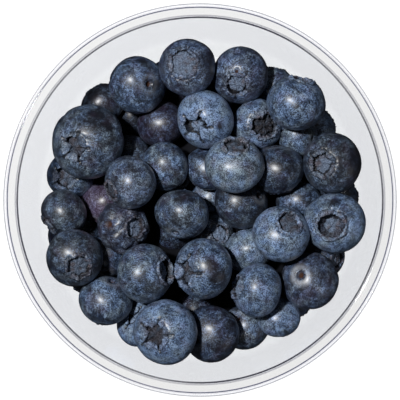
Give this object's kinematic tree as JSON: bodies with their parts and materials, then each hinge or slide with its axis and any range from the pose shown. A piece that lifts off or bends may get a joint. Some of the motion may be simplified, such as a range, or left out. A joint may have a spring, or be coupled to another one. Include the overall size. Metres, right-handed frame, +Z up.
{
  "type": "punnet of blueberries",
  "caption": "Round clear plastic tub with a turned-down rim, filled with a loose, uneven heap of fresh blueberries.",
  "frame": {"origin": "on the table under the middle of the tub", "axes": "+Z up out of the tub's mouth, -Y towards the edge that is nearest the viewer in the picture"},
  "size_m": [0.107, 0.107, 0.048],
  "materials": {
    "clear_plastic": "clear thermoformed plastic sheet, smooth and glossy",
    "berry_skin": "dark blue fruit skin under an uneven waxy bloom, with a satin shine"
  },
  "bodies": {
    "root": {"tub": "clear_plastic", "blueberries": "berry_skin"}
  },
  "joints": []
}
